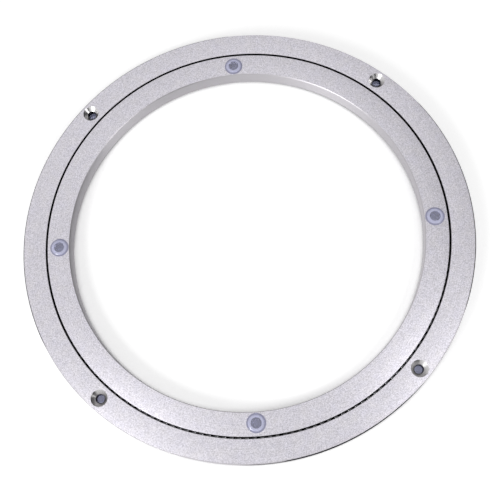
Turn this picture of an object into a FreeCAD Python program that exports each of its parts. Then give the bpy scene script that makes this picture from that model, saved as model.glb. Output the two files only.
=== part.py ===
import FreeCAD, Part
import itertools
import math
import os

# Lazy susan bearing: two flat aluminium rings, one inside the other, that turn on a full row of steel balls.
# The outer ring is screwed to the base and stands on four soft feet. The inner ring is screwed to the
# turntable, which it carries on four soft pads. Lengths are in millimetres and angles in degrees. +Z is up,
# and the origin is on the axis, at the level of the surface that the feet stand on.

# Rings, from the middle outwards
BORE_RADIUS = 118.0
INNER_RING_WIDTH = 15.3
RING_GAP = 1.0
OUTER_RING_WIDTH = 15.7
RING_THICKNESS = 10.0
RIM_CHAMFER = 0.5
INNER_RING_TURN = -1.3

# Row of balls, 3/16 inch, with no cage between them
BALL_DIAMETER = 4.7625
BALL_SPACING_SLACK = 0.01
BALL_GROUPS = 22

# Race: a V groove in each ring, so that a ball runs on four points
RACE_CONTACT_ANGLE = 45.0
RACE_CLEARANCE = 0.1

# Screw holes, countersunk on the side that the screw goes in from
HOLE_COUNT = 4
OUTER_HOLE_ANGLE = 45.0
INNER_HOLE_ANGLE = 0.0
OUTER_HOLE_EDGE_DISTANCE = 7.5
INNER_HOLE_EDGE_DISTANCE = 7.0
SCREW_HOLE_DIAMETER = 6.0
COUNTERSINK_DIAMETER = 11.0
COUNTERSINK_ANGLE = 90.0

# Soft pads and feet: a round head on a stem that is pushed into the far end of a screw hole
PAD_HEAD_DIAMETER = 12.4
PAD_HEAD_HEIGHT = 1.0
STEM_SOCKET_DIAMETER = 7.0
STEM_SOCKET_DEPTH = 4.8
STEM_SIDE_CLEARANCE = 0.1
STEM_END_CLEARANCE = 0.2

# Filling hole for the balls, on the rim at the back, and the screw plug that closes it
FILLER_ANGLE = 90.0
FILLER_BALL_CLEARANCE = 0.25
FILLER_PLUG_CLEARANCE = 0.05
FILLER_PLUG_RECESS = 0.4
FILLER_PLUG_CHAMFER = 0.3
HEX_SOCKET_WIDTH = 2.5
HEX_SOCKET_DEPTH = 2.5

# Places that follow from the sizes above
PITCH_RADIUS = BORE_RADIUS + INNER_RING_WIDTH + RING_GAP / 2
RIM_RADIUS = PITCH_RADIUS + RING_GAP / 2 + OUTER_RING_WIDTH
RINGS_BOTTOM = PAD_HEAD_HEIGHT
RINGS_TOP = RINGS_BOTTOM + RING_THICKNESS
BALL_LEVEL = (RINGS_BOTTOM + RINGS_TOP) / 2
BALL_RADIUS = BALL_DIAMETER / 2
BALL_COUNT = int(math.pi / math.asin((BALL_RADIUS + BALL_SPACING_SLACK / 2) / PITCH_RADIUS))
OUTER_HOLE_RADIUS = RIM_RADIUS - OUTER_HOLE_EDGE_DISTANCE
INNER_HOLE_RADIUS = BORE_RADIUS + INNER_HOLE_EDGE_DISTANCE
FILLER_RADIUS = BALL_RADIUS + FILLER_BALL_CLEARANCE

UP = FreeCAD.Vector(0, 0, 1)
ORIGIN = FreeCAD.Vector(0, 0, 0)
OUTSIDE = 1
INSIDE = -1
SAME_PLANE = 1e-6
OVERCUT = 1.0


def revolved(profile):
    """Solid of revolution about Z from the (radius, height) corners of its section."""
    corners = [FreeCAD.Vector(radius, 0, height) for radius, height in profile]
    section = Part.Face(Part.makePolygon(corners + corners[:1]))
    return section.revolve(ORIGIN, UP, 360)


def race_section(side):
    """Corners of the race groove, as (distance from the row's middle, height from it), bottom to top."""
    angle = math.radians(RACE_CONTACT_ANGLE)
    flank_distance = BALL_RADIUS + RACE_CLEARANCE
    mouth = RING_GAP / 2
    mouth_height = (flank_distance - mouth * math.cos(angle)) / math.sin(angle)
    bottom = flank_distance / math.cos(angle)
    return [(side * mouth, -mouth_height), (side * bottom, 0), (side * mouth, mouth_height)]


def ring_blank(side, width):
    """One ring with its race groove, before any hole is drilled. side says where it lies from the balls."""
    wall = PITCH_RADIUS + side * RING_GAP / 2
    edge = wall + side * width
    race = [(PITCH_RADIUS + out, BALL_LEVEL + up) for out, up in race_section(side)]
    return revolved([
        (wall, RINGS_BOTTOM),
        *race,
        (wall, RINGS_TOP),
        (edge - side * RIM_CHAMFER, RINGS_TOP),
        (edge, RINGS_TOP - RIM_CHAMFER),
        (edge, RINGS_BOTTOM + RIM_CHAMFER),
        (edge - side * RIM_CHAMFER, RINGS_BOTTOM),
    ])


def screw_hole():
    """What one hole takes out of a ring: countersink at height 0, screw hole below it, stem socket at the foot."""
    mouth_radius = COUNTERSINK_DIAMETER / 2
    hole_radius = SCREW_HOLE_DIAMETER / 2
    socket_radius = STEM_SOCKET_DIAMETER / 2
    slope = math.tan(math.radians(COUNTERSINK_ANGLE / 2))
    cone_depth = (mouth_radius - hole_radius) / slope
    socket_top = STEM_SOCKET_DEPTH - RING_THICKNESS
    return revolved([
        (0, OVERCUT),
        (mouth_radius, OVERCUT),
        (mouth_radius, 0),
        (hole_radius, -cone_depth),
        (hole_radius, socket_top),
        (socket_radius, socket_top),
        (socket_radius, -RING_THICKNESS - OVERCUT),
        (0, -RING_THICKNESS - OVERCUT),
    ])


def soft_pad():
    """One pad, head up, with the underside of its head at height 0."""
    head_radius = PAD_HEAD_DIAMETER / 2
    stem_radius = STEM_SOCKET_DIAMETER / 2 - STEM_SIDE_CLEARANCE
    stem_end = STEM_END_CLEARANCE - STEM_SOCKET_DEPTH
    return revolved([
        (0, PAD_HEAD_HEIGHT),
        (head_radius, PAD_HEAD_HEIGHT),
        (head_radius, 0),
        (stem_radius, 0),
        (stem_radius, stem_end),
        (0, stem_end),
    ])


def standing(shape, level):
    """A copy of a shape, upright, with its height 0 at a level."""
    return shape.translated(FreeCAD.Vector(0, 0, level))


def hanging(shape, level):
    """A copy of a shape, upside down, with its height 0 at a level."""
    turned = shape.rotated(ORIGIN, FreeCAD.Vector(1, 0, 0), 180)
    return turned.translated(FreeCAD.Vector(0, 0, level))


def around(shape, radius, first_angle):
    """Copies of a shape at the four hole places of a ring."""
    placed = shape.translated(FreeCAD.Vector(radius, 0, 0))
    step = 360 / HOLE_COUNT
    return [placed.rotated(ORIGIN, UP, first_angle + step * number) for number in range(HOLE_COUNT)]


def faceted_ball(half_width):
    """A ball with 14 flat sides, half_width from its middle to each of the six square ones."""
    signs = itertools.product((-1, 1), repeat=2)
    edges = [(half_width * first, half_width * second, 0) for first, second in signs]
    corners = [FreeCAD.Vector(*edge[turn:], *edge[:turn]) for edge in edges for turn in range(3)]
    squares = [direction for direction in itertools.product((-1, 0, 1), repeat=3) if math.hypot(*direction) == 1]
    triangles = list(itertools.product((-1, 1), repeat=3))
    return Part.Solid(Part.Shell([flat_side(corners, FreeCAD.Vector(*way)) for way in squares + triangles]))


def flat_side(corners, normal):
    """The face of a convex solid that looks along normal, from the solid's corners."""
    reach = max(corner.dot(normal) for corner in corners)
    rim = [corner for corner in corners if reach - corner.dot(normal) < SAME_PLANE]
    middle = sum(rim, FreeCAD.Vector()) / len(rim)
    start = rim[0] - middle
    across = normal.cross(start) / normal.Length
    rim.sort(key=lambda corner: math.atan2((corner - middle).dot(across), (corner - middle).dot(start)))
    return Part.Face(Part.makePolygon(rim + rim[:1]))


def steel_ball():
    """One ball at its place on +X, with its weight kept. Its square sides face its neighbours and the race."""
    weight_match = (4 / 3 * math.pi / faceted_ball(1).Volume) ** (1 / 3)
    ball = faceted_ball(BALL_RADIUS * weight_match).rotated(ORIGIN, FreeCAD.Vector(0, 1, 0), RACE_CONTACT_ANGLE)
    return ball.translated(FreeCAD.Vector(PITCH_RADIUS, 0, BALL_LEVEL))


def filler_hole():
    """What the filling hole takes out of the outer ring: a round hole from the race to the rim."""
    start = FreeCAD.Vector(PITCH_RADIUS, 0, BALL_LEVEL)
    length = RIM_RADIUS + OVERCUT - PITCH_RADIUS
    hole = Part.makeCylinder(FILLER_RADIUS, length, start, FreeCAD.Vector(1, 0, 0))
    return hole.rotated(ORIGIN, UP, FILLER_ANGLE)


def hex_socket(end):
    """The key's hexagon in the outer end of the plug, on +X."""
    corner_radius = HEX_SOCKET_WIDTH / math.sqrt(3)
    corners = []
    for number in range(6):
        angle = math.radians(60 * number)
        place = FreeCAD.Vector(end, corner_radius * math.cos(angle), BALL_LEVEL + corner_radius * math.sin(angle))
        corners.append(place)
    hexagon = Part.Face(Part.makePolygon(corners + corners[:1]))
    return hexagon.extrude(FreeCAD.Vector(-HEX_SOCKET_DEPTH, 0, 0))


def filler_plug():
    """The plug, whose inner tip carries on the race so that the balls run past it."""
    radius = FILLER_RADIUS - FILLER_PLUG_CLEARANCE
    start = PITCH_RADIUS + RING_GAP / 2
    end = RIM_RADIUS - FILLER_PLUG_RECESS
    chamfer = FILLER_PLUG_CHAMFER
    profile = [(0, start), (radius, start), (radius, end - chamfer), (radius - chamfer, end), (0, end)]
    plug = revolved(profile).rotated(ORIGIN, FreeCAD.Vector(0, 1, 0), 90)
    plug = standing(plug, BALL_LEVEL)
    race = revolved([(PITCH_RADIUS + out, BALL_LEVEL + up) for out, up in race_section(OUTSIDE)])
    plug = plug.cut(race).cut(hex_socket(end))
    return plug.rotated(ORIGIN, UP, FILLER_ANGLE)


def outer_ring():
    """The ring that is fixed to the base, countersunk from above."""
    ring = ring_blank(OUTSIDE, OUTER_RING_WIDTH)
    holes = around(standing(screw_hole(), RINGS_TOP), OUTER_HOLE_RADIUS, OUTER_HOLE_ANGLE)
    return ring.cut(holes + [filler_hole()])


def inner_ring():
    """The ring that carries the turntable, countersunk from below."""
    ring = ring_blank(INSIDE, INNER_RING_WIDTH)
    first_angle = INNER_HOLE_ANGLE + INNER_RING_TURN
    return ring.cut(around(hanging(screw_hole(), RINGS_BOTTOM), INNER_HOLE_RADIUS, first_angle))


def top_pads():
    """The four pads on the inner ring."""
    pad = standing(soft_pad(), RINGS_TOP)
    return Part.Compound(around(pad, INNER_HOLE_RADIUS, INNER_HOLE_ANGLE + INNER_RING_TURN))


def feet():
    """The four feet under the outer ring."""
    foot = hanging(soft_pad(), RINGS_BOTTOM)
    return Part.Compound(around(foot, OUTER_HOLE_RADIUS, OUTER_HOLE_ANGLE))


def ball_row():
    """The row of balls, as numbered groups of neighbours. The first ball stands in front of the filling hole."""
    ball = steel_ball()
    groups = {f"steel_balls_{number}": [] for number in range(1, BALL_GROUPS + 1)}
    for number in range(BALL_COUNT):
        angle = FILLER_ANGLE + 360 * number / BALL_COUNT
        group = number * BALL_GROUPS // BALL_COUNT + 1
        groups[f"steel_balls_{group}"].append(ball.rotated(ORIGIN, UP, angle))
    return {name: Part.Compound(balls) for name, balls in groups.items()}


def main():
    """Build every piece and write it to parts/."""
    nodes = {
        "outer_ring": outer_ring(),
        "inner_ring": inner_ring(),
        "filler_plug": filler_plug(),
        "top_pads": top_pads(),
        "feet": feet(),
        **ball_row(),
    }
    os.makedirs("parts", exist_ok=True)
    for name, shape in nodes.items():
        shape.exportStep(f"parts/{name}.step")
        print(f"{name}: {len(shape.Solids)} solid(s), {shape.Volume:.1f} mm3, valid {shape.isValid()}")
    print(f"{BALL_COUNT} balls on a pitch radius of {PITCH_RADIUS:.2f}, outer diameter {2 * RIM_RADIUS:.1f}")


main()
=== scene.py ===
"""Looks of a lazy susan bearing: two satin aluminium rings on a row of steel balls, clear pads and feet."""

import logging
import math
from dataclasses import dataclass
from enum import Enum
from functools import cached_property

import bpy
from bpy.types import ID, Material, Mesh, Node, NodeSocket as Socket, NodeTree as Tree, Object
from mathutils import Matrix, Vector


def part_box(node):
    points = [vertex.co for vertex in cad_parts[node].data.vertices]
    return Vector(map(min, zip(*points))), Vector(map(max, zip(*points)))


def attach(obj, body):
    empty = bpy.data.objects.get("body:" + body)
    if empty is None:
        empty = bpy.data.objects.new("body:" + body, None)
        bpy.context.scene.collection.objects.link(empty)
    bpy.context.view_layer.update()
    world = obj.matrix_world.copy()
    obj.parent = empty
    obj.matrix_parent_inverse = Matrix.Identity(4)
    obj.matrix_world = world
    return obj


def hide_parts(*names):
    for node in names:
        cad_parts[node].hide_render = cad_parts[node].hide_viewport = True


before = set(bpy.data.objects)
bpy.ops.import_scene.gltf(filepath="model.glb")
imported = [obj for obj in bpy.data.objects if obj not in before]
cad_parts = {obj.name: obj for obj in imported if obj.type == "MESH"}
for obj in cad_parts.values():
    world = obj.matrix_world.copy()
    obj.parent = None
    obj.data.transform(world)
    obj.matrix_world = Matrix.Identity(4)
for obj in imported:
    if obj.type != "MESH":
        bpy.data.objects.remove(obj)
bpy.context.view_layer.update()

LOG = logging.getLogger("swivel_bearing")
MM = 0.001
IMAGE_SIDE = 500
SENSOR_WIDTH = 36.0

Point = tuple[float, float]
Colour = tuple[float, float, float]

TURNED_INPUTS = {"Section": "Geometry", "Guide Radius": "Float", "Segments": "Int"}
PATTERN_INPUTS = {"Count": "Int", "Circle Radius": "Float", "First Angle": "Float", "Finish": "Material"}


class Side(Enum):
    """On which side of the ball row a ring lies. The value is the sign of the way out from the row."""

    OUTER = 1
    INNER = -1


class Facing(Enum):
    """Which way a countersink or a pad's head looks. The value is the sign of its direction along Z."""

    UP = 1
    DOWN = -1


def opaque(colour: Colour) -> tuple[float, float, float, float]:
    """Write a colour as a socket wants it."""
    return (*colour, 1.0)


def direction(azimuth: float, elevation: float = 0.0) -> Vector:
    """Find the way from the object's axis to a place around it.

    Args:
        azimuth: the angle about Z from -Y towards +X, in radians.
        elevation: the angle above the floor, in radians.

    Returns:
        The way, one metre long.
    """
    level = math.cos(elevation)
    return Vector((math.sin(azimuth) * level, -math.cos(azimuth) * level, math.sin(elevation)))


def put_in_scene(name: str, data: ID) -> Object:
    """Make an object of a mesh, a lamp or a camera, at the origin.

    Args:
        name: the object's name.
        data: what it shows.

    Returns:
        The object.
    """
    placed = bpy.data.objects.new(name, data)
    bpy.context.scene.collection.objects.link(placed)
    return placed


class NodeSheet:
    """A node tree that is being drawn up, for a finish, the sky or geometry."""

    MIX_FIRST_COLOUR = 6
    MIX_SECOND_COLOUR = 7
    MIX_RESULT_COLOUR = 2

    def __init__(self, tree: Tree) -> None:
        """Keep the tree that the nodes go into."""
        self.tree = tree

    def add(self, kind: str, inputs: dict | None = None, **settings: object) -> Node:
        """Add one node.

        Args:
            kind: Blender's name of the node type.
            inputs: what goes into its sockets, by their name or number: a value, or another node's socket.
            settings: the node's own options.

        Returns:
            The node.
        """
        node = self.tree.nodes.new(kind)
        for option, value in settings.items():
            setattr(node, option, value)
        for key, value in (inputs or {}).items():
            if isinstance(value, Socket):
                self.tree.links.new(value, node.inputs[key])
            else:
                node.inputs[key].default_value = value
        return node

    def math(self, operation: str, first: object, second: object = 0.0) -> Socket:
        """Do a sum with two values or sockets, by Blender's name of the operation."""
        return self.add("ShaderNodeMath", {0: first, 1: second}, operation=operation).outputs[0]

    def mix(self, factor: object, first: object, second: object, blend: str = "MIX") -> Socket:
        """Mix two colours.

        Args:
            factor: how much of the second there is.
            first: a colour or a socket.
            second: a colour or a socket.
            blend: Blender's name of the way to blend.

        Returns:
            The mixed colour.
        """
        colours = [opaque(given) if isinstance(given, tuple) else given for given in (first, second)]
        inputs = {"Factor": factor, self.MIX_FIRST_COLOUR: colours[0], self.MIX_SECOND_COLOUR: colours[1]}
        node = self.add("ShaderNodeMix", inputs, data_type="RGBA", blend_type=blend)
        return node.outputs[self.MIX_RESULT_COLOUR]

    def ramp(self, value: Socket, stops: list[tuple[float, Colour, float]]) -> Node:
        """Turn a value into a colour and a second value, by stops.

        Args:
            value: the value, from 0 to 1.
            stops: two or more places on the way from 0 to 1, each with its colour and its second value.

        Returns:
            The node, which gives the colour as Color and the second value as Alpha.
        """
        node = self.add("ShaderNodeValToRGB", {"Fac": value})
        marks = node.color_ramp.elements
        marks[0].position = stops[0][0]
        marks[1].position = stops[-1][0]
        for place, _, _ in stops[1:-1]:
            marks.new(place)
        for mark, (_, colour, second) in zip(marks, stops):
            mark.color = (*colour, second)
        return node

    def noise(self, place: Socket, size: float, detail: float = 2.0, harshness: float = 0.5) -> Socket:
        """Draw cloudy noise.

        Args:
            place: the coordinates that it follows.
            size: how large its clouds are, in metres.
            detail: how many finer layers it has.
            harshness: how strong the finer layers are.

        Returns:
            A value from 0 to 1.
        """
        clouds = self.add("ShaderNodeTexNoise", {"Vector": place, "Scale": 1 / size, "Detail": detail,
                                                 "Roughness": harshness})
        return clouds.outputs["Fac"]

    def fit(self, value: Socket, low: float, high: object, start: float = 0.0, end: float = 1.0) -> Socket:
        """Turn a value that goes from start to end into one that goes from low to high."""
        node = self.add("ShaderNodeMapRange", {"Value": value, "From Min": start, "From Max": end,
                                               "To Min": low, "To Max": high})
        return node.outputs["Result"]

    def spread(self, value: Socket, middle: float, share: float) -> Socket:
        """Turn a value from 0 to 1 into one about a middle, up to a share of it to either side."""
        return self.fit(value, middle * (1 - share), middle * (1 + share))

    def bump(self, height: Socket, depth: float) -> Socket:
        """Tilt the surface as if it rose with a value from 0 to 1, by a depth in metres."""
        node = self.add("ShaderNodeBump", {"Height": height, "Distance": depth, "Strength": 1.0})
        return node.outputs["Normal"]

    def parts(self, vector: Socket) -> bpy.types.bpy_prop_collection:
        """Take a vector apart, into sockets named X, Y and Z."""
        return self.add("ShaderNodeSeparateXYZ", {"Vector": vector}).outputs


class FinishSheet(NodeSheet):
    """The node tree of a new material."""

    def __init__(self, name: str) -> None:
        """Start an empty material.

        Args:
            name: the material's name.
        """
        self.finish = bpy.data.materials.new(name)
        self.finish.use_nodes = True
        super().__init__(self.finish.node_tree)
        self.tree.nodes.clear()

    @cached_property
    def place(self) -> Socket:
        """The object coordinates."""
        return self.add("ShaderNodeTexCoord").outputs["Object"]

    def result(self, shader: Socket) -> Material:
        """End the material with its shader."""
        self.add("ShaderNodeOutputMaterial", {"Surface": shader})
        return self.finish


class GeometryRecipe(NodeSheet):
    """A geometry nodes tree with named inputs."""

    def __init__(self, name: str, inputs: dict[str, str]) -> None:
        """Start the tree.

        Args:
            name: the tree's name.
            inputs: the kind of each input, by its name, such as Float or Material.
        """
        super().__init__(bpy.data.node_groups.new(name, "GeometryNodeTree"))
        for label, kind in inputs.items():
            self.tree.interface.new_socket(name=label, in_out="INPUT", socket_type=f"NodeSocket{kind}")
        self.tree.interface.new_socket(name="Result", in_out="OUTPUT", socket_type="NodeSocketGeometry")
        self.given = self.add("NodeGroupInput").outputs

    def handed_on(self, labels: dict[str, str]) -> dict[str, Socket]:
        """Take the inputs of these names, to hand them on to another tree."""
        return {label: self.given[label] for label in labels}

    def call(self, tree: Tree, inputs: dict) -> Socket:
        """Use another tree inside this one, with its inputs by their names."""
        return self.add("GeometryNodeGroup", inputs, node_tree=tree).outputs["Result"]

    def dress(self, geometry: Socket, finish: Socket, where: Socket | None = None) -> Socket:
        """Give faces their finish.

        Args:
            geometry: the geometry.
            finish: the material.
            where: the faces that take it, or None for all of them.

        Returns:
            The dressed geometry.
        """
        chosen = {"Selection": where} if where else {}
        node = self.add("GeometryNodeSetMaterial", {"Geometry": geometry, "Material": finish, **chosen})
        return node.outputs["Geometry"]

    def result(self, geometry: Socket) -> Tree:
        """End the tree with the geometry that comes out of it."""
        self.add("NodeGroupOutput", {"Result": geometry})
        return self.tree


def run_recipe(name: str, source: Mesh, tree: Tree, inputs: dict) -> Object:
    """Run a geometry nodes tree once and keep what it makes as a plain mesh.

    Args:
        name: the name of the piece.
        source: the mesh that goes in.
        tree: the geometry nodes tree.
        inputs: the values of its named inputs.

    Returns:
        An object with the finished mesh, at the origin, with no modifier.
    """
    carrier = put_in_scene(f"{name}_source", source)
    modifier = carrier.modifiers.new("recipe", "NODES")
    modifier.node_group = tree
    for item in tree.interface.items_tree:
        if item.in_out == "INPUT" and item.name in inputs:
            modifier[item.identifier] = inputs[item.name]
    evaluated = carrier.evaluated_get(bpy.context.evaluated_depsgraph_get())
    mesh = bpy.data.meshes.new_from_object(evaluated)
    mesh.name = name
    carrier.modifiers.remove(modifier)
    bpy.data.objects.remove(carrier)
    return put_in_scene(name, mesh)


def smooth_between_edges(piece: Object, edge_angle: float = math.radians(28)) -> None:
    """Shade a piece smooth, apart from the edges that turn by more than an angle.

    Args:
        piece: the piece.
        edge_angle: the angle from which an edge stays sharp, in radians.
    """
    piece.data.polygons.foreach_set("use_smooth", [True] * len(piece.data.polygons))
    piece.data.set_sharp_from_angle(angle=edge_angle)


def settle(piece: Object, body: str, nodes: list[str]) -> None:
    """Tell the frame what a finished piece is.

    Args:
        piece: the finished piece.
        body: the body that it moves with.
        nodes: the nodes of the frame that it stands for.
    """
    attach(piece, body)
    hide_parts(*nodes)


def rounded_outline(corners: list[tuple[float, float, float]], steps: int = 4) -> list[Point]:
    """Round the corners of an outline.

    Args:
        corners: each corner's two coordinates and the radius of its rounding, which may be 0.
        steps: how many straight pieces make one rounding.

    Returns:
        The points of the outline.
    """
    points = []
    for number, (x, y, radius) in enumerate(corners):
        here = Vector((x, y))
        if radius == 0:
            points.append((x, y))
            continue
        before = (Vector(corners[number - 1][:2]) - here).normalized()
        after = (Vector(corners[(number + 1) % len(corners)][:2]) - here).normalized()
        half = before.angle(after) / 2
        centre = here + (before + after).normalized() * (radius / math.sin(half))
        first = here + before * (radius / math.tan(half)) - centre
        last = here + after * (radius / math.tan(half)) - centre
        turn = first.angle_signed(last)
        for step in range(steps + 1):
            spoke = Matrix.Rotation(-turn * step / steps, 2) @ first
            points.append(tuple(centre + spoke))
    return points


def profile_mesh(name: str, outline: list[Point], guide_radius: float) -> Mesh:
    """Lay out the section of a turned piece as the turned_body tree wants it.

    Args:
        name: the mesh's name.
        outline: the section's points, as (distance from the axis, height).
        guide_radius: the radius of the circle that carries the section round.

    Returns:
        A mesh of edges in the XY plane, which runs so that the turned faces point outwards.
    """
    ring = outline[1:] + outline[:1]
    area = sum(a[0] * b[1] - b[0] * a[1] for a, b in zip(outline, ring))
    ordered = outline if area < 0 else outline[::-1]
    mesh = bpy.data.meshes.new(name)
    count = len(ordered)
    edges = [(number, (number + 1) % count) for number in range(count)]
    mesh.from_pydata([(radius - guide_radius, -height, 0) for radius, height in ordered], edges, [])
    return mesh


def turned_body_tree() -> Tree:
    """Draw up the tree that turns a section about Z.

    Returns:
        The tree.
    """
    same_point = 0.001 * MM
    recipe = GeometryRecipe("turned_body", TURNED_INPUTS)
    given = recipe.given
    circle = recipe.add("GeometryNodeCurvePrimitiveCircle", {"Resolution": given["Segments"],
                                                             "Radius": given["Guide Radius"]})
    section = recipe.add("GeometryNodeMeshToCurve", {"Mesh": given["Section"]})
    sweep = recipe.add("GeometryNodeCurveToMesh", {"Curve": circle.outputs["Curve"],
                                                   "Profile Curve": section.outputs["Curve"]})
    merge = recipe.add("GeometryNodeMergeByDistance", {"Geometry": sweep.outputs["Mesh"],
                                                       "Distance": same_point})
    return recipe.result(merge.outputs["Geometry"])


def circle_pattern_tree() -> Tree:
    """Draw up the tree that repeats a round shape at even places on a circle about Z.

    Returns:
        The tree.
    """
    recipe = GeometryRecipe("circle_pattern", {"Shape": "Geometry", **PATTERN_INPUTS})
    given = recipe.given
    circle = recipe.add("GeometryNodeMeshCircle", {"Vertices": given["Count"],
                                                   "Radius": given["Circle Radius"]})
    angle = recipe.add("ShaderNodeCombineXYZ", {"Z": given["First Angle"]})
    places = recipe.add("GeometryNodeTransform", {"Geometry": circle.outputs["Mesh"],
                                                  "Rotation": angle.outputs["Vector"]})
    copies = recipe.add("GeometryNodeInstanceOnPoints", {"Points": places.outputs["Geometry"],
                                                         "Instance": given["Shape"]})
    solid = recipe.add("GeometryNodeRealizeInstances", {"Geometry": copies.outputs["Instances"]})
    return recipe.result(recipe.dress(solid.outputs["Geometry"], given["Finish"]))


def turned_set_tree(turned_body: Tree, circle_pattern: Tree) -> Tree:
    """Draw up the tree that turns a section and repeats it on a circle, for pads and feet.

    Args:
        turned_body: the tree that turns a section.
        circle_pattern: the tree that repeats a shape.

    Returns:
        The tree.
    """
    recipe = GeometryRecipe("turned_set", {**TURNED_INPUTS, **PATTERN_INPUTS})
    shape = recipe.call(turned_body, recipe.handed_on(TURNED_INPUTS))
    return recipe.result(recipe.call(circle_pattern, {"Shape": shape, **recipe.handed_on(PATTERN_INPUTS)}))


def ball_row_tree(circle_pattern: Tree) -> Tree:
    """Draw up the tree that makes the row of balls.

    Args:
        circle_pattern: the tree that repeats a shape.

    Returns:
        The tree.
    """
    recipe = GeometryRecipe("ball_row", {"Source": "Geometry", "Ball Radius": "Float", "Fineness": "Int",
                                         "Level": "Float", **PATTERN_INPUTS})
    given = recipe.given
    ball = recipe.add("GeometryNodeMeshIcoSphere", {"Radius": given["Ball Radius"],
                                                    "Subdivisions": given["Fineness"]})
    place = recipe.add("ShaderNodeCombineXYZ", {"Z": given["Level"]})
    raised = recipe.add("GeometryNodeTransform", {"Geometry": ball.outputs["Mesh"],
                                                  "Translation": place.outputs["Vector"]})
    shape = raised.outputs["Geometry"]
    return recipe.result(recipe.call(circle_pattern, {"Shape": shape, **recipe.handed_on(PATTERN_INPUTS)}))


def drilled_ring_tree(turned_body: Tree, circle_pattern: Tree) -> Tree:
    """Draw up the tree that turns a ring, dresses its flats and walls, and drills its holes.

    Args:
        turned_body: the tree that turns a section.
        circle_pattern: the tree that repeats a shape.

    Returns:
        The tree.
    """
    surfaces = ("Flat", "Edge", "Wall", "Race", "Hole", "Shaft")
    recipe = GeometryRecipe("drilled_ring", {
        **TURNED_INPUTS, "Race Reach": "Float", "Cross Drill": "Object",
        "Hole Section": "Object", "Hole Guide Radius": "Float", "Hole Segments": "Int",
        "Hole Count": "Int", "Hole Circle Radius": "Float", "First Hole Angle": "Float",
        **{f"{surface} Finish": "Material" for surface in surfaces},
    })
    given = recipe.given
    # How level a face lies is 1 on a flat and 0 on an upright wall
    flat_from, race_to, upright_to = 0.98, 0.9, 0.3
    normal = recipe.add("GeometryNodeInputNormal").outputs["Normal"]
    levelness = recipe.math("ABSOLUTE", recipe.parts(normal)["Z"])
    upright = recipe.math("LESS_THAN", levelness, upright_to)
    ring = recipe.call(turned_body, recipe.handed_on(TURNED_INPUTS))
    ring = recipe.dress(ring, given["Wall Finish"])
    ring = recipe.dress(ring, given["Edge Finish"], recipe.math("GREATER_THAN", levelness, upright_to))
    ring = recipe.dress(ring, given["Flat Finish"], recipe.math("GREATER_THAN", levelness, flat_from))
    place = recipe.add("GeometryNodeInputPosition").outputs["Position"]
    plan = recipe.add("ShaderNodeVectorMath", {0: place, 1: (1, 1, 0)}, operation="MULTIPLY")
    radius = recipe.add("ShaderNodeVectorMath", {0: plan.outputs["Vector"]}, operation="LENGTH")
    # Faces in the race and on the gap's rounded mouth take the Race Finish, a near black that is painted
    # shade
    off_row = recipe.math("ABSOLUTE", recipe.math("SUBTRACT", radius.outputs["Value"], given["Guide Radius"]))
    in_race = recipe.math("MULTIPLY", recipe.math("LESS_THAN", off_row, given["Race Reach"]),
                          recipe.math("LESS_THAN", levelness, race_to))
    ring = recipe.dress(ring, given["Race Finish"], in_race)
    section = recipe.add("GeometryNodeObjectInfo", {"Object": given["Hole Section"]})
    hole = recipe.call(turned_body, {"Section": section.outputs["Geometry"],
                                     "Guide Radius": given["Hole Guide Radius"],
                                     "Segments": given["Hole Segments"]})
    holes = recipe.call(circle_pattern, {"Shape": hole, "Count": given["Hole Count"],
                                         "Circle Radius": given["Hole Circle Radius"],
                                         "First Angle": given["First Hole Angle"],
                                         "Finish": given["Hole Finish"]})
    # The hole shafts take the Shaft Finish, the same near black: painted shade inside the holes
    shafts = recipe.dress(holes, given["Shaft Finish"], upright)
    drill = recipe.add("GeometryNodeObjectInfo", {"Object": given["Cross Drill"]})
    cutters = recipe.add("GeometryNodeJoinGeometry")
    for cutter in (drill.outputs["Geometry"], shafts):
        recipe.tree.links.new(cutter, cutters.inputs["Geometry"])
    cut = recipe.add("GeometryNodeMeshBoolean", {"Mesh 1": ring, "Mesh 2": cutters.outputs["Geometry"]},
                     operation="DIFFERENCE", solver="EXACT")
    return recipe.result(cut.outputs["Mesh"])


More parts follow.
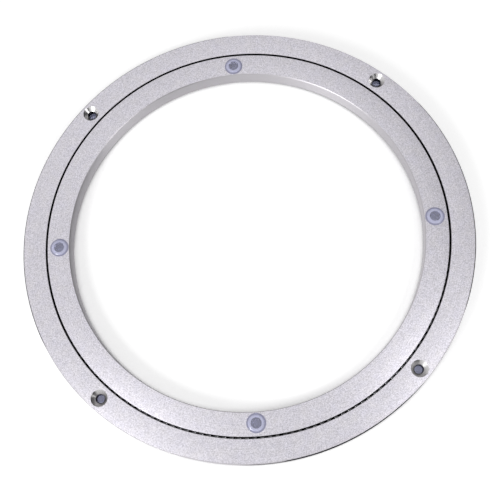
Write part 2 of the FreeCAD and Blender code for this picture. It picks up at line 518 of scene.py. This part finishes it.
@dataclass(frozen=True)
class MetalFinish:
    """A bare metal surface with a fine grain. Lengths are in metres.

    The grain is even on a blasted surface. On a turned one a share of it is lines in circles about Z.
    The colour drifts towards the tinted one in soft clouds.
    """

    name: str
    colour: Colour
    roughness: float
    roughness_spread: float = 0.12
    grain_size: float = 0.4 * MM
    grain_contrast: float = 0.10
    grain_depth: float = 0.004 * MM
    line_share: float = 0.0
    line_pitch: float = 0.2 * MM
    anisotropy: float = 0.0
    upright: bool = False
    tint: Colour = (1.0, 1.0, 1.0)
    tint_size: float = 9 * MM
    nick_colour: Colour | None = None

    def material(self) -> Material:
        """Build the material.

        Returns:
            The material.
        """
        sheet = FinishSheet(self.name)
        grain = self.grain(sheet)
        tinted = sheet.mix(sheet.noise(sheet.place, self.tint_size), self.colour, self.tinted_colour())
        colour = sheet.mix(1.0, tinted, sheet.spread(grain, 1.0, self.grain_contrast), "MULTIPLY")
        if self.nick_colour:
            colour = sheet.mix(self.nicks(sheet), colour, self.nick_colour)
        surface = sheet.add("ShaderNodeBsdfPrincipled", {
            "Base Color": colour, "Metallic": 1.0, "Anisotropic": self.anisotropy,
            "Roughness": sheet.spread(grain, self.roughness, self.roughness_spread),
            "Normal": sheet.bump(grain, self.grain_depth),
        })
        if self.anisotropy:
            sheet.tree.links.new(self.across_lines(sheet), surface.inputs["Tangent"])
        return sheet.result(surface.outputs["BSDF"])

    def tinted_colour(self) -> Colour:
        """Tint the finish's colour."""
        return tuple(own * factor for own, factor in zip(self.colour, self.tint))

    def across_lines(self, sheet: FinishSheet) -> Socket:
        """Find the way across turned circles, along which they spread the light.

        Args:
            sheet: the material's nodes.

        Returns:
            The direction: along Z on an upright wall, out from the Z axis on a flat.
        """
        if self.upright:
            way = sheet.add("ShaderNodeCombineXYZ", {"Z": 1.0})
        else:
            parts = sheet.parts(sheet.place)
            level = sheet.add("ShaderNodeCombineXYZ", {"X": parts["X"], "Y": parts["Y"]})
            way = sheet.add("ShaderNodeVectorMath", {0: level.outputs["Vector"]}, operation="NORMALIZE")
        turned = sheet.add("ShaderNodeVectorTransform", {"Vector": way.outputs["Vector"]},
                           vector_type="VECTOR", convert_from="OBJECT", convert_to="WORLD")
        return turned.outputs["Vector"]

    def grain(self, sheet: FinishSheet) -> Socket:
        """Draw the grain.

        Args:
            sheet: the material's nodes.

        Returns:
            A value from 0 to 1.
        """
        blasted = sheet.noise(sheet.place, self.grain_size, detail=3.0, harshness=0.6)
        if not self.line_share:
            return blasted
        parts = sheet.parts(sheet.place)
        squares = [sheet.math("MULTIPLY", parts[axis], parts[axis]) for axis in ("X", "Y")]
        radius = sheet.math("SQRT", sheet.math("ADD", *squares))
        across = sheet.math("MULTIPLY", sheet.math("ADD", radius, parts["Z"]), 1 / self.line_pitch)
        lines = sheet.add("ShaderNodeTexNoise", {"W": across, "Scale": 1.0, "Detail": 2.0},
                          noise_dimensions="1D").outputs["Fac"]
        both = sheet.add("ShaderNodeMix", {"Factor": self.line_share, "A": blasted, "B": lines})
        return both.outputs["Result"]

    def nicks(self, sheet: FinishSheet) -> Socket:
        """Draw a few tiny dark nicks.

        Args:
            sheet: the material's nodes.

        Returns:
            How much of a nick there is, from 0 to 1.
        """
        spacing, size, share, strength = 17 * MM, 0.035, 0.5, 0.45
        cells = sheet.add("ShaderNodeTexVoronoi", {"Vector": sheet.place, "Scale": 1 / spacing})
        near = sheet.math("LESS_THAN", cells.outputs["Distance"], size)
        pick = sheet.add("ShaderNodeSeparateColor", {"Color": cells.outputs["Color"]})
        rare = sheet.math("LESS_THAN", pick.outputs["Red"], share)
        return sheet.math("MULTIPLY", sheet.math("MULTIPLY", near, rare), strength)


@dataclass(frozen=True)
class SiliconeZone:
    """A stretch of a pad's height that looks alike. It goes from one share of the height to another."""

    start: float
    end: float
    colour: Colour
    clearness: float


@dataclass(frozen=True)
class SiliconeFinish:
    """Clear silicone with a faint haze, for pads above and feet below a level. Lengths are in metres.

    The zones go from the level, at 0, to the flat face of a pad or foot, at 1: the stem's end, its dark edge,
    which is painted shade, its wall, the head's dark rim, which is painted shade too, its milky flank and its
    clear face. Between zones the look changes evenly.
    """

    level: float
    face: float
    name: str = "clear_silicone"
    roughness: float = 0.07
    roughness_spread: float = 0.3
    refraction: float = 1.41
    haze_size: float = 1.6 * MM
    haze_tone: float = 0.04
    haze_depth: float = 0.004 * MM
    zones: tuple[SiliconeZone, ...] = (
        SiliconeZone(0.0, 0.068, (0.55, 0.57, 0.80), clearness=0.80),
        # A dark band round the stem's end: painted shade between the stem and the hole's wall
        SiliconeZone(0.076, 0.250, (0.10, 0.10, 0.15), clearness=0.50),
        SiliconeZone(0.300, 0.830, (0.50, 0.52, 0.86), clearness=0.90),
        # A dark band at the head's rim: painted shade where the head meets the ring
        SiliconeZone(0.835, 0.896, (0.46, 0.46, 0.62), clearness=0.40),
        SiliconeZone(0.945, 0.9965, (0.74, 0.75, 0.97), clearness=0.36),
        SiliconeZone(0.9985, 1.0, (0.74, 0.75, 1.0), clearness=0.75),
    )

    def material(self) -> Material:
        """Build the material.

        Returns:
            The material.
        """
        sheet = FinishSheet(self.name)
        haze = sheet.noise(sheet.place, self.haze_size)
        height = sheet.parts(sheet.place)["Z"]
        away = sheet.math("ABSOLUTE", sheet.math("SUBTRACT", height, self.level))
        stops = [(end, zone.colour, zone.clearness) for zone in self.zones for end in (zone.start, zone.end)]
        look = sheet.ramp(sheet.math("DIVIDE", away, self.face - self.level), stops)
        colour = sheet.mix(1.0, look.outputs["Color"], sheet.spread(haze, 1.0, self.haze_tone), "MULTIPLY")
        surface = sheet.add("ShaderNodeBsdfPrincipled", {
            "Base Color": colour, "IOR": self.refraction, "Transmission Weight": look.outputs["Alpha"],
            "Roughness": sheet.spread(haze, self.roughness, self.roughness_spread),
            "Normal": sheet.bump(haze, self.haze_depth),
        })
        return sheet.result(surface.outputs["BSDF"])


@dataclass(frozen=True)
class HoleCircle:
    """Where a ring's screw holes lie, and with them its pads or feet. Lengths are in metres."""

    radius: float
    first_angle: float
    count: int = 4


@dataclass(frozen=True)
class BearingSizes:
    """Sizes that several pieces share, in metres. The rim and the levels are the frame's."""

    rim_radius: float
    rings_bottom: float
    rings_top: float
    outer_ring_width: float = 15.7 * MM
    ring_gap: float = 1.0 * MM
    inner_ring_width: float = 15.3 * MM
    ball_radius: float = 4.7625 / 2 * MM
    race_clearance: float = 0.1 * MM
    filling_clearance: float = 0.25 * MM
    outer_hole_edge: float = 7.5 * MM
    inner_hole_edge: float = 7.0 * MM
    outer_hole_angle: float = math.radians(45)
    inner_hole_angle: float = math.radians(-1.3)
    socket_radius: float = 3.5 * MM
    socket_depth: float = 4.8 * MM
    overcut: float = 1.0 * MM

    @classmethod
    def from_frame(cls) -> "BearingSizes":
        """Read the rim and the levels off the outer ring of the frame."""
        low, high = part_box("outer_ring")
        return cls(rim_radius=high.x, rings_bottom=low.z, rings_top=high.z)

    @property
    def row_radius(self) -> float:
        """Radius of the circle that the balls' middles stand on."""
        return self.rim_radius - self.outer_ring_width - self.ring_gap / 2

    @property
    def row_level(self) -> float:
        """Height of the balls' middles."""
        return (self.rings_bottom + self.rings_top) / 2

    @property
    def ball_count(self) -> int:
        """How many balls the full row holds."""
        return int(math.pi / math.asin(self.ball_radius / self.row_radius))

    @property
    def outer_holes(self) -> HoleCircle:
        """The screw holes of the outer ring."""
        return HoleCircle(self.rim_radius - self.outer_hole_edge, self.outer_hole_angle)

    @property
    def inner_holes(self) -> HoleCircle:
        """The screw holes of the inner ring."""
        bore_radius = self.row_radius - self.ring_gap / 2 - self.inner_ring_width
        return HoleCircle(bore_radius + self.inner_hole_edge, self.inner_hole_angle)


@dataclass
class Workshop:
    """The geometry nodes trees and the finishes, made once."""

    sizes: BearingSizes

    def __post_init__(self) -> None:
        """Draw up every tree and build every finish."""
        self.turned_body = turned_body_tree()
        self.circle_pattern = circle_pattern_tree()
        self.turned_set = turned_set_tree(self.turned_body, self.circle_pattern)
        self.drilled_ring = drilled_ring_tree(self.turned_body, self.circle_pattern)
        self.ball_row = ball_row_tree(self.circle_pattern)
        self.satin = MetalFinish(
            "satin_aluminium", (0.612, 0.597, 0.672), roughness=0.47, anisotropy=0.5, grain_size=0.7 * MM,
            grain_contrast=0.95, grain_depth=0.012 * MM, line_share=0.25, line_pitch=0.35 * MM,
            tint=(1.06, 1.05, 0.97), tint_size=6 * MM, nick_colour=(0.30, 0.29, 0.36)).material()
        # Turned aluminium for upright walls: the turned lines and gloss are real, and the colour below the
        # flats' is painted shade on the walls
        self.turned = MetalFinish("turned_aluminium", (0.505, 0.49, 0.515), roughness=0.46, line_share=0.7,
                                  anisotropy=0.85, upright=True).material()
        self.edge = MetalFinish("edge_aluminium", (0.52, 0.505, 0.53), roughness=0.11, line_share=0.7,
                                grain_depth=0.001 * MM).material()
        # Near black for the race, the gap's rounded mouth and the hole shafts: painted shade, standing in for
        # the shade inside the gap and the holes, on plain aluminium
        self.race = MetalFinish("race_aluminium", (0.010, 0.010, 0.012), roughness=0.30,
                                line_share=0.7).material()
        self.countersunk = MetalFinish(
            "countersunk_aluminium", (0.58, 0.57, 0.575), roughness=0.28, grain_size=0.3 * MM,
            grain_contrast=0.30, grain_depth=0.006 * MM, line_share=0.6, line_pitch=0.14 * MM).material()
        # Steel kept far darker than its own colour: painted shade for balls that sit in the shade of the gap,
        # with real steel gloss
        self.ball = MetalFinish("ball_steel", (0.15, 0.15, 0.16), roughness=0.07, grain_size=0.8 * MM,
                                grain_contrast=0.03, grain_depth=0.001 * MM).material()
        self.plug = MetalFinish("plug_steel", (0.16, 0.16, 0.17), roughness=0.38, grain_contrast=0.15,
                                grain_depth=0.01 * MM).material()
        self.silicone = SiliconeFinish(self.sizes.row_level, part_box("top_pads")[1].z).material()


@dataclass(frozen=True)
class FillerPlug:
    """The screw plug that closes the balls' filling hole. Its solid is right as it is."""

    sizes: BearingSizes
    node: str = "filler_plug"
    drill_segments: int = 48

    def build(self, shop: Workshop) -> Object:
        """Give the plug its finish.

        Args:
            shop: the trees and finishes.

        Returns:
            The plug.
        """
        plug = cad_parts[self.node]
        plug.data.materials.clear()
        plug.data.materials.append(shop.plug)
        return plug

    def drill(self) -> Object:
        """Make what the filling hole takes out of the outer ring.

        Returns:
            A round bar along +Y, from the ball row to past the rim. It is not part of the object.
        """
        sizes, count = self.sizes, self.drill_segments
        radius = sizes.ball_radius + sizes.filling_clearance
        turns = [2 * math.pi * number / count for number in range(count)]
        points = [(radius * math.cos(turn), y, sizes.row_level + radius * math.sin(turn))
                  for y in (sizes.row_radius, sizes.rim_radius + sizes.overcut) for turn in turns]
        walls = [(n, count + n, count + (n + 1) % count, (n + 1) % count) for n in range(count)]
        ends = [tuple(range(count)), tuple(range(count, 2 * count))[::-1]]
        mesh = bpy.data.meshes.new("filling_drill")
        mesh.from_pydata(points, [], walls + ends)
        return bpy.data.objects.new("filling_drill", mesh)


@dataclass
class DrilledRing:
    """One of the two rings, with its race, its rim and its countersunk holes. Lengths are in metres."""

    name: str
    node: str
    body: str
    sizes: BearingSizes
    side: Side
    countersink: Facing
    width: float
    holes: HoleCircle
    plug: FillerPlug | None = None
    edge_chamfer: float = 0.5 * MM
    gap_rounding: float = 0.36 * MM
    chamfer_rounding: float = 0.08 * MM
    segments: int = 480
    hole_segments: int = 72
    screw_radius: float = 3.0 * MM
    countersink_radius: float = 5.5 * MM

    @property
    def race_depth(self) -> float:
        """How far the race's 45 degree flanks reach from the middle of the balls."""
        return (self.sizes.ball_radius + self.sizes.race_clearance) * math.sqrt(2)

    def section(self) -> list[Point]:
        """Draw the ring's section.

        Returns:
            The section's points, as (radius, height).
        """
        sizes, way = self.sizes, self.side.value
        wall = sizes.row_radius + way * sizes.ring_gap / 2
        edge = wall + way * self.width
        mouth = self.race_depth - sizes.ring_gap / 2
        floor = sizes.row_radius + way * self.race_depth
        chamfer, small, fine = self.edge_chamfer, self.gap_rounding, self.chamfer_rounding
        low, high, level = sizes.rings_bottom, sizes.rings_top, sizes.row_level
        return rounded_outline([
            (wall, low, small), (wall, level - mouth, small), (floor, level, small),
            (wall, level + mouth, small), (wall, high, small), (edge - way * chamfer, high, fine),
            (edge, high - chamfer, fine), (edge, low + chamfer, fine), (edge - way * chamfer, low, fine),
        ])

    def hole_section(self) -> list[Point]:
        """Draw what a screw hole takes out: countersink, shaft and, at the far side, the stem's socket.

        Returns:
            The section's points, as (distance from the hole's axis, height).
        """
        sizes, way = self.sizes, self.countersink.value
        near, far = (sizes.rings_top, sizes.rings_bottom)[::way]
        above, below = near + way * sizes.overcut, far - way * sizes.overcut
        cone_end = near - way * (self.countersink_radius - self.screw_radius)
        socket_end = far + way * sizes.socket_depth
        return [
            (0, above), (self.countersink_radius + sizes.overcut, above), (self.screw_radius, cone_end),
            (self.screw_radius, socket_end), (sizes.socket_radius, socket_end), (sizes.socket_radius, below),
            (0, below),
        ]

    def build(self, shop: Workshop) -> Object:
        """Turn, drill and place the ring.

        Args:
            shop: the trees and finishes.

        Returns:
            The finished piece.
        """
        guide, hole_guide = self.sizes.row_radius, self.countersink_radius
        hole_section = profile_mesh(f"{self.name}_hole", self.hole_section(), hole_guide)
        hole = bpy.data.objects.new(f"{self.name}_hole", hole_section)
        drill = self.plug.drill() if self.plug else None
        # The Race Reach takes in the gap's roundings, so the painted shade of the race finish widens the dark
        # gap line; the shafts take the same painted shade
        piece = run_recipe(self.name, profile_mesh(self.name, self.section(), guide), shop.drilled_ring, {
            "Guide Radius": guide, "Segments": self.segments,
            "Race Reach": self.race_depth + self.gap_rounding, "Cross Drill": drill,
            "Hole Section": hole, "Hole Guide Radius": hole_guide, "Hole Segments": self.hole_segments,
            "Hole Count": self.holes.count, "Hole Circle Radius": self.holes.radius,
            "First Hole Angle": self.holes.first_angle, "Flat Finish": shop.satin, "Wall Finish": shop.turned,
            "Edge Finish": shop.edge if self.side is Side.OUTER else shop.turned,
            "Race Finish": shop.race, "Hole Finish": shop.countersunk, "Shaft Finish": shop.race,
        })
        bpy.data.objects.remove(hole)
        if drill:
            bpy.data.objects.remove(drill)
        smooth_between_edges(piece)
        settle(piece, self.body, [self.node])
        return piece


@dataclass
class SoftPads:
    """The four pads of one side: round heads on stems, of clear silicone. Lengths are in metres."""

    name: str
    node: str
    body: str
    sizes: BearingSizes
    facing: Facing
    holes: HoleCircle
    head_radius: float = 6.2 * MM
    crown_radius: float = 3.3 * MM
    crown_rounding: float = 0.2 * MM
    shoulder_radius: float = 4.6 * MM
    shoulder_height: float = 0.90 * MM
    brim_radius: float = 5.45 * MM
    brim_height: float = 0.36 * MM
    rim_height: float = 0.25 * MM
    rim_rounding: float = 0.1 * MM
    seat_gap: float = 0.02 * MM
    stem_side_clearance: float = 0.1 * MM
    stem_end_clearance: float = 0.2 * MM
    stem_rounding: float = 1.1 * MM
    segments: int = 96

    def section(self) -> list[Point]:
        """Draw one pad's section.

        Returns:
            The section's points, as (distance from the pad's axis, height).
        """
        way = self.facing.value
        low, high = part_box(self.node)
        face = high.z if self.facing is Facing.UP else low.z
        seat = self.sizes.rings_top if self.facing is Facing.UP else self.sizes.rings_bottom
        under = seat + way * self.seat_gap
        stem_radius = self.sizes.socket_radius - self.stem_side_clearance
        stem_end = seat - way * (self.sizes.socket_depth - self.stem_end_clearance)
        return rounded_outline([
            (0, face, 0), (self.crown_radius, face, self.crown_rounding),
            (self.shoulder_radius, seat + way * self.shoulder_height, self.crown_rounding),
            (self.brim_radius, seat + way * self.brim_height, self.crown_rounding),
            (self.head_radius, seat + way * self.rim_height, self.rim_rounding), (self.head_radius, under, 0),
            (stem_radius, under, 0), (stem_radius, stem_end, self.stem_rounding), (0, stem_end, 0),
        ])

    def build(self, shop: Workshop) -> Object:
        """Mould the four pads.

        Args:
            shop: the trees and finishes.

        Returns:
            The finished piece.
        """
        source = profile_mesh(self.name, self.section(), self.head_radius)
        piece = run_recipe(self.name, source, shop.turned_set, {
            "Guide Radius": self.head_radius, "Segments": self.segments, "Count": self.holes.count,
            "Circle Radius": self.holes.radius, "First Angle": self.holes.first_angle,
            "Finish": shop.silicone,
        })
        smooth_between_edges(piece)
        settle(piece, self.body, [self.node])
        return piece


@dataclass
class BallRow:
    """The full row of balls between the rings. The first one stands in front of the filling hole."""

    sizes: BearingSizes
    name: str = "ball_row_balls"
    body: str = "ball_row"
    node_prefix: str = "steel_balls_"
    first_angle: float = math.radians(90)
    fineness: int = 2
    facet_angle: float = math.radians(60)

    def build(self, shop: Workshop) -> Object:
        """Make the row.

        Args:
            shop: the trees and finishes.

        Returns:
            The finished piece.
        """
        piece = run_recipe(self.name, bpy.data.meshes.new(f"{self.name}_source"), shop.ball_row, {
            "Ball Radius": self.sizes.ball_radius, "Fineness": self.fineness, "Level": self.sizes.row_level,
            "Count": self.sizes.ball_count, "Circle Radius": self.sizes.row_radius,
            "First Angle": self.first_angle, "Finish": shop.ball,
        })
        smooth_between_edges(piece, self.facet_angle)
        nodes = sorted(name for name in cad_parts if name.startswith(self.node_prefix))
        settle(piece, self.body, nodes)
        return piece


@dataclass(frozen=True)
class PhotographCamera:
    """The camera of the photograph, as a fit of the rings' outlines gave it. Lengths are in metres.

    The object's middle lies in front of it at the distance, a little right of the lens's axis and above it.
    """

    azimuth: float = math.radians(12.0)
    elevation: float = math.radians(74.18)
    roll: float = math.radians(-17.30)
    distance: float = 473.0 * MM
    middle_right: float = 1.8 * MM
    middle_above: float = 38.3 * MM
    focal_pixels: float = 713.7
    centre_pixel: Point = (241.4, 290.0)
    nearest_shown: float = 0.01
    farthest_shown: float = 20.0

    def build(self, target_level: float) -> None:
        """Set up the camera.

        Args:
            target_level: the height of the rings' top face.
        """
        back = direction(self.azimuth, self.elevation)
        right = Vector((0, 0, 1)).cross(back).normalized()
        up = back.cross(right)
        turn = Matrix.Rotation(self.roll, 3, back)
        right, up = turn @ right, turn @ up
        place = back * self.distance - right * self.middle_right - up * self.middle_above
        lens = bpy.data.cameras.new("camera")
        lens.sensor_width = SENSOR_WIDTH
        lens.lens = SENSOR_WIDTH * self.focal_pixels / IMAGE_SIDE
        lens.shift_x = (IMAGE_SIDE / 2 - self.centre_pixel[0]) / IMAGE_SIDE
        lens.shift_y = (self.centre_pixel[1] - IMAGE_SIDE / 2) / IMAGE_SIDE
        lens.clip_start, lens.clip_end = self.nearest_shown, self.farthest_shown
        camera = put_in_scene("camera", lens)
        stand = Matrix.Translation(place + Vector((0, 0, target_level)))
        camera.matrix_world = stand @ Matrix((right, up, back)).transposed().to_4x4()
        bpy.context.scene.camera = camera


@dataclass(frozen=True)
class Lamp:
    """A soft rectangular lamp that looks at the object's middle. Lengths are in metres, power in watts."""

    name: str
    azimuth: float
    elevation: float
    width: float
    height: float
    power: float
    distance: float = 1.1
    colour: Colour = (1.0, 1.0, 1.0)

    def build(self) -> None:
        """Hang the lamp."""
        light = bpy.data.lights.new(self.name, "AREA")
        light.shape = "RECTANGLE"
        light.size, light.size_y = self.width, self.height
        light.energy, light.color = self.power, self.colour
        lamp = put_in_scene(self.name, light)
        way = direction(self.azimuth, self.elevation)
        lamp.location = way * self.distance
        lamp.rotation_euler = way.to_track_quat("Z", "Y").to_euler()
        lamp.visible_camera = False


@dataclass(frozen=True)
class DarkCard:
    """A dark card that bare metal mirrors as a dark line. The camera doesn't see it. Lengths are in metres.

    An upright card stands on the floor, bent round the object. A lying one is a piece of a flat ring just
    above the floor, whose height runs inwards, and the lamps light the floor through it.
    """

    name: str
    azimuth: float
    width: float
    height: float
    distance: float = 0.9
    lying: bool = False
    lying_level: float = 0.5 * MM
    steps: int = 16

    def edge(self, distance: float, level: float) -> list[Vector]:
        """Lay out one long edge of the card.

        Args:
            distance: how far the edge is from the axis.
            level: its height.

        Returns:
            The edge's points.
        """
        share = self.width / self.distance / self.steps
        turns = [self.azimuth + share * (step - self.steps / 2) for step in range(self.steps + 1)]
        return [direction(turn) * distance + Vector((0, 0, level)) for turn in turns]

    def build(self, finish: Material) -> None:
        """Put the card in its place.

        Args:
            finish: the card's material.
        """
        low, high, reach = 0, self.height, self.distance
        if self.lying:
            low, high, reach = self.lying_level, self.lying_level, self.distance - self.height
        points = self.edge(self.distance, low) + self.edge(reach, high)
        count = self.steps + 1
        mesh = bpy.data.meshes.new(self.name)
        mesh.from_pydata(points, [], [(n, n + 1, count + n + 1, count + n) for n in range(self.steps)])
        mesh.materials.append(finish)
        card = put_in_scene(self.name, mesh)
        card.visible_camera = False
        card.visible_diffuse = False
        card.visible_shadow = not self.lying
        card.visible_transmission = not self.lying


@dataclass(frozen=True)
class Studio:
    """The floor, the sky, the lamps and the dark cards. Lengths are in metres.

    The floor is paper that also glows a little where it is seen, near the object and more so far from it, but
    not in the narrow shade under the object. The sky lights mat surfaces less than it shows.
    """

    floor_side: float = 6.0
    paper_colour: Colour = (0.85, 0.85, 0.85)
    glow_colour: Colour = (1.0, 1.0, 1.0)
    near_glow: float = 0.40
    far_glow: float = 0.62
    near_distance: float = 0.35
    far_distance: float = 2.0
    shade_reach: float = 8 * MM
    shade_from: float = 0.47
    shade_to: float = 0.57
    shade_samples: int = 8
    sky_strength: float = 0.45
    felt_colour: Colour = (0.025, 0.025, 0.028)
    lamps: tuple[Lamp, ...] = (
        Lamp("key_lamp", math.radians(-50), math.radians(32), width=0.5, height=0.45, power=6.1),
        Lamp("fill_lamp", math.radians(63), math.radians(46), width=0.4, height=0.4, power=3.1),
    )
    cards: tuple[DarkCard, ...] = (
        DarkCard("card_right", math.radians(96), width=1.10, height=0.85),
        DarkCard("card_back_right", math.radians(140), width=0.70, height=0.60),
        DarkCard("card_back", math.radians(185), width=0.80, height=0.34),
        DarkCard("card_front", math.radians(30), width=0.53, height=1.10),
        DarkCard("card_low", math.radians(26), width=0.69, height=0.20),
        DarkCard("card_table", math.radians(21), width=0.85, height=0.749, lying=True),
        DarkCard("card_behind", math.radians(-125), width=0.50, height=0.107, distance=0.26, lying=True),
        DarkCard("card_beside", math.radians(97), width=0.29, height=0.147, distance=0.30, lying=True),
        DarkCard("card_in_bore", math.radians(-87.5), width=0.158, height=0.06, distance=0.107, lying=True),
    )

    def build(self) -> None:
        """Lay the floor, light the sky, hang the lamps and stand the cards."""
        half = self.floor_side / 2
        corners = [(-half, -half, 0), (half, -half, 0), (half, half, 0), (-half, half, 0)]
        mesh = bpy.data.meshes.new("floor")
        mesh.from_pydata(corners, [], [(0, 1, 2, 3)])
        mesh.materials.append(self.floor_finish())
        floor = put_in_scene("floor", mesh)
        self.light_sky()
        for lamp in self.lamps:
            lamp.build()
        felt = self.card_finish()
        for card in self.cards:
            card.build(felt)

    def card_finish(self) -> Material:
        """Make the dark felt of the cards.

        Returns:
            The material.
        """
        sheet = FinishSheet("dark_card")
        felt = sheet.add("ShaderNodeBsdfDiffuse", {"Color": opaque(self.felt_colour)})
        return sheet.result(felt.outputs["BSDF"])

    @staticmethod
    def seen_directly(sheet: NodeSheet) -> Socket:
        """Find the rays that show floor and sky as they are: of the camera, of gloss and of clear pieces.

        Args:
            sheet: the nodes of the floor or the sky.

        Returns:
            A value of 1 for these rays and 0 for others.
        """
        path = sheet.add("ShaderNodeLightPath").outputs
        gloss = sheet.math("MAXIMUM", path["Is Camera Ray"], path["Is Glossy Ray"])
        return sheet.math("MAXIMUM", gloss, path["Is Transmission Ray"])

    def floor_finish(self) -> Material:
        """Make the floor's white paper, which keeps the object's soft shadow.

        Returns:
            The material.
        """
        sheet = FinishSheet("white_paper")
        away = sheet.add("ShaderNodeVectorMath", {0: sheet.place}, operation="LENGTH").outputs["Value"]
        full = sheet.fit(away, self.near_glow, self.far_glow, self.near_distance, self.far_distance)
        shade = sheet.add("ShaderNodeAmbientOcclusion", {"Distance": self.shade_reach},
                          samples=self.shade_samples)
        glow = sheet.fit(shade.outputs["AO"], 0.0, full, self.shade_from, self.shade_to)
        seen = sheet.math("MULTIPLY", glow, self.seen_directly(sheet))
        white = sheet.add("ShaderNodeEmission", {"Color": opaque(self.glow_colour), "Strength": seen})
        paper = sheet.add("ShaderNodeBsdfDiffuse", {"Color": opaque(self.paper_colour)})
        both = sheet.add("ShaderNodeAddShader", {0: paper.outputs["BSDF"], 1: white.outputs["Emission"]})
        return sheet.result(both.outputs["Shader"])

    def light_sky(self) -> None:
        """Fill the surroundings with a white sky."""
        world = bpy.data.worlds.new("sky")
        bpy.context.scene.world = world
        world.use_nodes = True
        sheet = NodeSheet(world.node_tree)
        sheet.tree.nodes.clear()
        strength = sheet.fit(self.seen_directly(sheet), self.sky_strength, 1.0)
        light = sheet.add("ShaderNodeBackground", {"Color": opaque(self.glow_colour), "Strength": strength})
        sheet.add("ShaderNodeOutputWorld", {"Surface": light.outputs["Background"]})


def main() -> None:
    """Build the bearing, the camera and the studio, and report each piece."""
    logging.basicConfig(level=logging.INFO, format="%(name)s: %(message)s")
    bpy.context.scene.view_settings.view_transform = "Standard"
    sizes = BearingSizes.from_frame()
    shop = Workshop(sizes)
    plug = FillerPlug(sizes)
    parts = (
        plug,
        DrilledRing("outer_ring_dressed", "outer_ring", "fixed_ring", sizes, Side.OUTER, Facing.UP,
                    sizes.outer_ring_width, sizes.outer_holes, plug, edge_chamfer=0.6 * MM),
        DrilledRing("inner_ring_dressed", "inner_ring", "turning_ring", sizes, Side.INNER, Facing.DOWN,
                    sizes.inner_ring_width, sizes.inner_holes),
        SoftPads("top_pads_dressed", "top_pads", "turning_ring", sizes, Facing.UP, sizes.inner_holes),
        SoftPads("feet_dressed", "feet", "fixed_ring", sizes, Facing.DOWN, sizes.outer_holes),
        BallRow(sizes),
    )
    for part in parts:
        piece = part.build(shop)
        LOG.info("%s: %d faces", piece.name, len(piece.data.polygons))
    PhotographCamera().build(sizes.rings_top)
    Studio().build()


if __name__ == "__main__":
    main()
